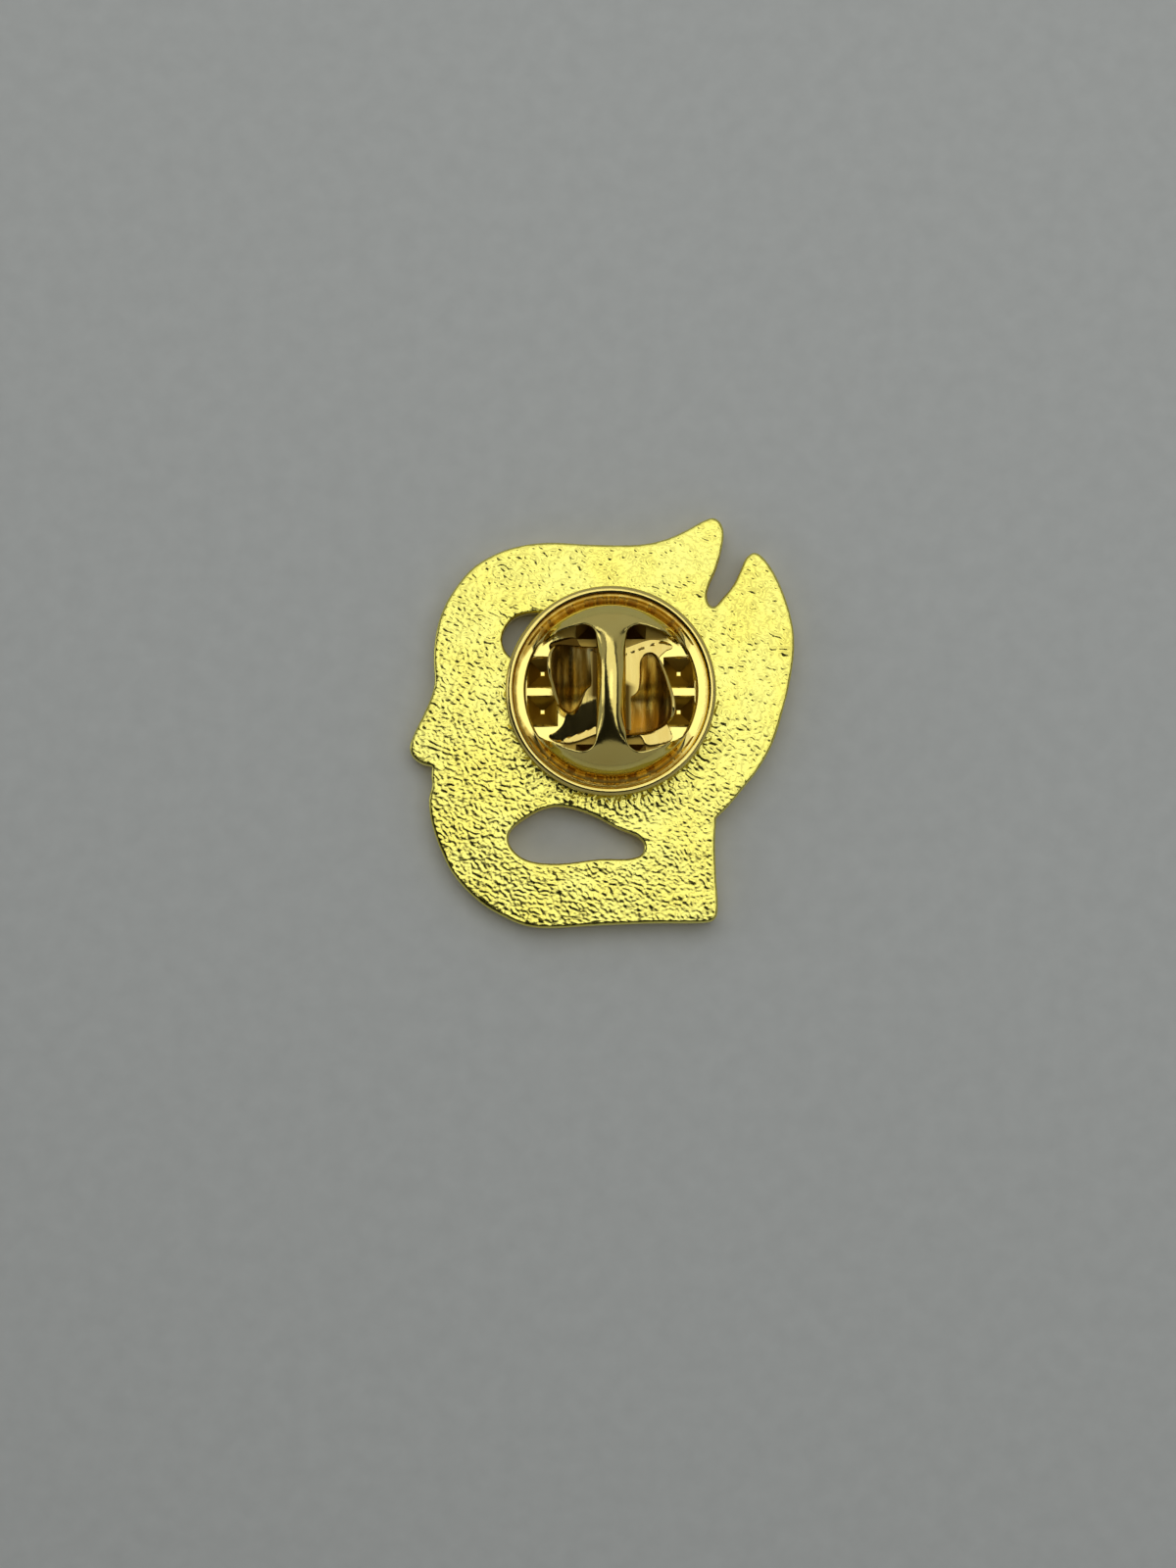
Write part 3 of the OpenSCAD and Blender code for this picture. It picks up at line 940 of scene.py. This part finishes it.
def sanded_gold(tree, shader, where):
    """Thin gold plating over a die-struck, sand-textured back: pale lemon highlights, dark short creases."""
    shader.inputs["Metallic"].default_value = 1
    patches = mottle(tree, where, 2.5, 2)
    colour = ramp(tree, patches, [(0.35, "EEE36E"), (0.65, "F4ED7E")])
    coat(tree, shader, colour, spread(tree, patches, 0.13, 0.2))
    pits = mottle(tree, stretched(tree, where, (0.75, 1, 1)), 0.22, 2)
    emboss(tree, shader, pits, 0.012)


def plain_gold(tree, shader, where):
    """The same plating over the tumbled edge, front and post: smooth, with a little orange peel."""
    shader.inputs["Metallic"].default_value = 1
    patches = mottle(tree, where, 1.5, 3)
    colour = ramp(tree, patches, [(0.3, "EFD873"), (0.7, "F7E48A")])
    coat(tree, shader, colour, spread(tree, patches, 0.1, 0.2))
    peel = mottle(tree, where, 0.25, 2)
    emboss(tree, shader, peel, 0.002)


def stamped_brass(tree, shader, where):
    """Bright-dipped brass sheet drawn in a press: near-mirror, with faint dents and handling marks.

    Returns its colour, for the finishes that are laid over it.
    """
    shader.inputs["Metallic"].default_value = 1
    patches = mottle(tree, where, 2, 3)
    colour = ramp(tree, patches, [(0.3, "F1DB7B"), (0.7, "F6E487")])
    coat(tree, shader, colour, spread(tree, patches, 0.1, 0.18))
    dents = mottle(tree, where, 0.8, 5)
    emboss(tree, shader, dents, 0.014)
    return colour


def dish_brass_painted_shade(tree, shader, where):
    """The same brass in the dish, with dull brown painted shade on the pits' walls and on the floor beyond
    the feet.
    """
    bright = stamped_brass(tree, shader, where)
    place = coordinates(tree, where)
    up_the_pit = carry(tree, place["Z"], (FLOOR_TOP_Z - PIT_HOLLOW) * MM, FLOOR_TOP_Z * MM)
    stops = [(0.02, "FFFFFF"), (0.05, "000000"), (0.85, "000000"), (0.97, "FFFFFF")]
    unshaded = ramp(tree, up_the_pit, stops)
    off_axis = reckon(tree, "ABSOLUTE", place["Y"])
    aside = reckon(tree, "ABSOLUTE", place["X"])
    wedge = reckon(tree, "MULTIPLY_ADD", aside, -0.45, off_axis)
    ragged_shade_edge = mottle(tree, where, 1.3, 2)
    wandering = reckon(tree, "MULTIPLY_ADD", ragged_shade_edge, MM, wedge)
    unshaded_near_axis = carry(tree, wandering, 2.3 * MM, 2.1 * MM)
    unshaded = reckon(tree, "MULTIPLY", unshaded, unshaded_near_axis)
    # Dull brown painted shade wherever unshaded is 0, with a rougher finish there.
    colour = mix(tree, unshaded, linear("A0863C"), bright)
    coat(tree, shader, colour, spread(tree, unshaded, 0.3, 0.1))


def cap_brass_painted_shade(tree, shader, where):
    """The same brass on the cap, with brownish painted shade round the dome's foot and over the flange, kept
    off the right side.
    """
    bright = stamped_brass(tree, shader, where)
    place = coordinates(tree, where)
    radius = length_of(tree, where, (1, 1, 0))
    off_axis = reckon(tree, "ABSOLUTE", place["Y"])
    valley = carry(tree, off_axis, 1.5 * MM, 3 * MM, (RIM_R - 0.68) * MM, (RIM_R - 1.0) * MM)
    past = reckon(tree, "SUBTRACT", radius, valley)
    valley_shade = carry(tree, past, 0, 0.12 * MM)
    to_the_right = reckon(tree, "MULTIPLY_ADD", off_axis, -0.9, place["X"])
    left_side_shade = carry(tree, to_the_right, 1.5 * MM, 0.3 * MM)
    shade_mottle = mottle(tree, where, 0.4, 3)
    thickness = carry(tree, shade_mottle, 0.3, 0.55, 0.5)
    painted_light = reckon(tree, "MULTIPLY", valley_shade, left_side_shade)
    painted_light = reckon(tree, "MULTIPLY", painted_light, thickness)
    # Painted shade, brownish gold, round the dome's foot on all but the right side.
    colour = mix(tree, painted_light, bright, linear("D2AE4C"))
    coat(tree, shader, colour, spread(tree, painted_light, 0.13, 0.34))


def wing_brass_painted_reflection(tree, shader, where):
    """Faces of the thumb wings, with a painted reflection: brown with pale streaks, amber low on the right
    one.
    """
    spring_brass(tree, shader, where)
    painted_light = mottle(tree, stretched(tree, where, (1, 0.2, 0.3)), 0.5, 3)
    # Painted reflection: brown with pale streaks of painted highlight, and amber low on the right wing.
    colour = ramp(tree, painted_light, [(0.4, "94742C"), (0.52, "CAAA56"), (0.63, "FFF0A8")])
    place = coordinates(tree, where)
    low_down = carry(tree, place["Y"], -0.9 * MM, -1.7 * MM, 0, 0.8)
    right_piece = reckon(tree, "GREATER_THAN", place["X"], 0)
    amber_reflection = reckon(tree, "MULTIPLY", low_down, right_piece)
    colour = mix(tree, amber_reflection, colour, linear("C68A22"))
    coat(tree, shader, colour, spread(tree, painted_light, 0.36, 0.18))


def spring_brass(tree, shader, where):
    """Hard-rolled spring brass: rolling lines, and dark brown painted shade at each root and the left piece's
    end.
    """
    shader.inputs["Metallic"].default_value = 1
    lines = mottle(tree, stretched(tree, where, (1, 0.2, 1)), 0.3, 3)
    colour = ramp(tree, lines, [(0.3, "EFD476"), (0.7, "F6E085")])
    place = coordinates(tree, where)
    product = reckon(tree, "MULTIPLY", place["X"], place["Y"])
    root_half = carry(tree, product, 0.55 * MM**2, 0.25 * MM**2)
    out = reckon(tree, "ABSOLUTE", place["X"])
    near_root = carry(tree, out, (WING_ROOT_X + 0.5) * MM, WING_ROOT_X * MM)
    shade_at_root = reckon(tree, "MULTIPLY", root_half, near_root)
    far_end = carry(tree, place["Y"], 2.1 * MM, 2.4 * MM)
    left_piece = reckon(tree, "LESS_THAN", place["X"], 0)
    shade_at_far_end = reckon(tree, "MULTIPLY", far_end, left_piece)
    painted_shade = reckon(tree, "MAXIMUM", shade_at_root, shade_at_far_end)
    # Dark brown painted shade at the wings' roots and at the left piece's far end.
    colour = mix(tree, painted_shade, colour, linear("4E3A12"))
    coat(tree, shader, colour, spread(tree, lines, 0.05, 0.11))
    emboss(tree, shader, lines, 0.004)


def grey_paper(tree, shader, where):
    """Uncoated pale grey paper: matt, with a soft fibre mottle."""
    shader.inputs["Roughness"].default_value = 0.9
    fibres = mottle(tree, where, 1.2, 6)
    colour = ramp(tree, fibres, [(0.3, "DFE3E0"), (0.7, "E5E9E6")])
    tree.links.new(colour, shader.inputs["Base Color"])
    emboss(tree, shader, fibres, 0.02)


# Stage


def make_floor():
    """A sheet of paper, a hair below the front face so that the two never share one plane."""
    mesh = bpy.data.meshes.new("paper")
    half, z = 0.6, -0.02 * MM
    corners = [(-half, -half, z), (half, -half, z), (half, half, z), (-half, half, z)]
    mesh.from_pydata(corners, [], [(0, 1, 2, 3)])
    mesh.materials.append(finish("grey_paper", grey_paper))
    floor = bpy.data.objects.new("paper", mesh)
    bpy.context.scene.collection.objects.link(floor)


def make_sky():
    """A dim room: grey towards the horizon, lighter beyond the top of the badge, dark overhead."""
    world = bpy.data.worlds.new("room")
    bpy.context.scene.world = world
    world.use_nodes = True
    tree = world.node_tree
    tree.nodes.clear()
    direction = add(tree, "ShaderNodeTexCoord").outputs["Generated"]
    near_horizon = carry(tree, coordinates(tree, direction)["Y"], -1, 1, 0.21, 0.33)
    overhead = 0.008
    from_zenith = length_of(tree, direction, (0.72, 1, 0))
    lowness = carry(tree, from_zenith, 0.57, 0.66, interpolation_type="SMOOTHSTEP")
    level = spread(tree, lowness, overhead, near_horizon)
    light = add(tree, "ShaderNodeBackground", {"Color": (1, 1, 1, 1), "Strength": level})
    add(tree, "ShaderNodeOutputWorld", {"Surface": light.outputs["Background"]})


def add_panel(name, place, turn, size, radiance):
    """A soft rectangular light that shines straight down until it is turned by these angles."""
    panel = bpy.data.lights.new(name, "AREA")
    panel.shape = "RECTANGLE"
    panel.size, panel.size_y = size
    panel.energy = radiance * math.pi * size[0] * size[1]
    lamp = bpy.data.objects.new(name, panel)
    lamp.location = place
    lamp.rotation_euler = turn
    bpy.context.scene.collection.objects.link(lamp)


def make_lights():
    """A soft panel from overhead to the upper right, a small one under it, and one low on the left."""
    height, bearing = 0.22, math.radians(60)
    near, far, right, left = -0.011, 0.16, -0.155, 0.19
    out, aside = (near + far) / 2, (right + left) / 2
    place = Matrix.Rotation(bearing, 3, "Z") @ Vector((out, aside, height))
    add_panel("panel", place, (0, 0, bearing), (far - near, left - right), 0.92)
    add_panel("panel_core", (0.003, 0.021, height - 0.001), (0, 0, 0), (0.062, 0.05), 0.5)
    tilt = math.radians(67)
    place = (-0.37, 0.05, 0.155)
    add_panel("side_panel", place, (0, -tilt, 0), (0.21, 0.11), 0.8)


def make_camera():
    """Looking down at the back from a quarter of a metre, a few degrees towards the badge's lower edge."""
    place = Vector((-2.0, -22.5, 252.3)) * MM
    aim = Vector((-1.24, -4.99, 1.5)) * MM
    camera = bpy.data.cameras.new("camera")
    camera.lens = 105.4
    camera.sensor_width = 36
    camera.clip_start = 0.01
    holder = bpy.data.objects.new("camera", camera)
    back = (place - aim).normalized()
    right = Vector((0, 1, 0)).cross(back).normalized()
    holder.matrix_world = Matrix((right, back.cross(right), back)).transposed().to_4x4()
    holder.location = place
    bpy.context.scene.collection.objects.link(holder)
    bpy.context.scene.camera = holder


bpy.context.scene.view_settings.view_transform = "Standard"
GOLD_BACK = finish("sanded_gold", sanded_gold)
GOLD_PLAIN = finish("plain_gold", plain_gold)
STAMPED_BRASS = finish("stamped_brass", stamped_brass)
DISH_BRASS_PAINTED_SHADE = finish("dish_brass_painted_shade", dish_brass_painted_shade)
CAP_BRASS_PAINTED_SHADE = finish("cap_brass_painted_shade", cap_brass_painted_shade)
SPRING_BRASS_PAINTED_SHADE = finish("spring_brass", spring_brass)
WING_BRASS_PAINTED_REFLECTION = finish("wing_brass_painted_reflection", wing_brass_painted_reflection)
make_badge()
make_dish()
make_dome()
make_spring("thumb_wing_right", "wing_right", RIGHT_EDGE, 1)
make_spring("thumb_wing_left", "wing_left", LEFT_EDGE, -1)
make_floor()
make_sky()
make_lights()
make_camera()
